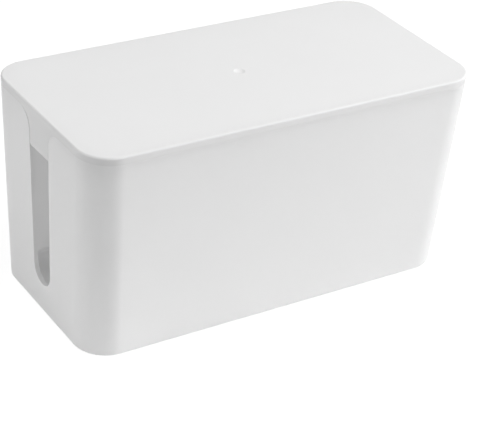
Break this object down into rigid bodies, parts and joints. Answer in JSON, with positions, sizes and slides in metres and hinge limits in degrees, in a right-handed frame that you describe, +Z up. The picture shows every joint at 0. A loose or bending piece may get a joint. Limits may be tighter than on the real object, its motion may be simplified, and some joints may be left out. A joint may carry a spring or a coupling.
{
  "type": "cable management box",
  "caption": "Oblong box with leaning walls, round corners and a flared cable slot in each end, under a flush lift-off lid whose tongues close the mouths of the slots.",
  "frame": {"origin": "on the table, under the middle of the box, in the plane of the feet's lower faces", "axes": "+X along the length to the right-hand end, +Y across the width to the rear, +Z up"},
  "size_m": [0.235, 0.115, 0.12],
  "materials": {
    "body_plastic": "white moulded plastic with a fine matte grain",
    "lid_plastic": "white moulded plastic with a fine matte grain",
    "foot_rubber": "plain dark grey rubber"
  },
  "bodies": {
    "box": {"box_body": "body_plastic", "foot_front_left": "foot_rubber", "foot_front_right": "foot_rubber", "foot_rear_left": "foot_rubber", "foot_rear_right": "foot_rubber"},
    "lid": {"lid": "lid_plastic"}
  },
  "joints": [
    {"name": "lid_lift", "type": "slide", "parent": "box", "child": "lid", "axis": [0, 0, 1], "range_m": [0, 0.1]}
  ]
}
